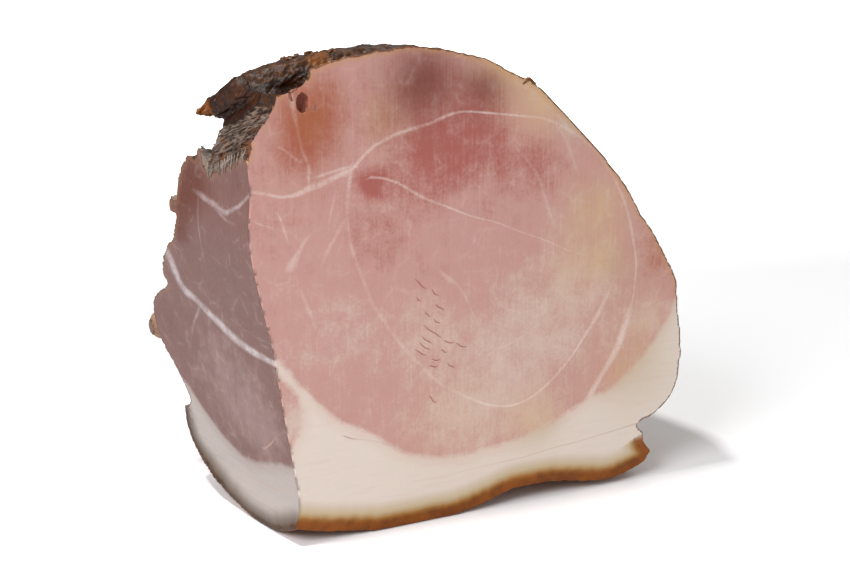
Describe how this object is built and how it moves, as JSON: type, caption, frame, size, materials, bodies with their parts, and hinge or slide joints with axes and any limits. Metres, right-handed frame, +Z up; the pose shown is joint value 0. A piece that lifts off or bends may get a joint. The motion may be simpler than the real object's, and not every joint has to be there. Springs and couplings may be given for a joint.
{
  "type": "cooked ham",
  "caption": "Piece of boneless cooked ham with two plane cuts, a rind below, dark smoked crust above and an overhanging crust flap, resting on a flattened underside.",
  "frame": {"origin": "a point of the flat resting patch under the ham, near the middle of the piece", "axes": "+Z up; -Y out of the large cut; +X from the edge between the two cuts towards the rounded side"},
  "size_m": [0.24, 0.1375, 0.2216],
  "materials": {
    "ham": "soft, slightly moist cut meat with pale fat, brown rind and dark dried crust"
  },
  "bodies": {
    "root": {"cooked_ham": "ham"}
  },
  "joints": []
}
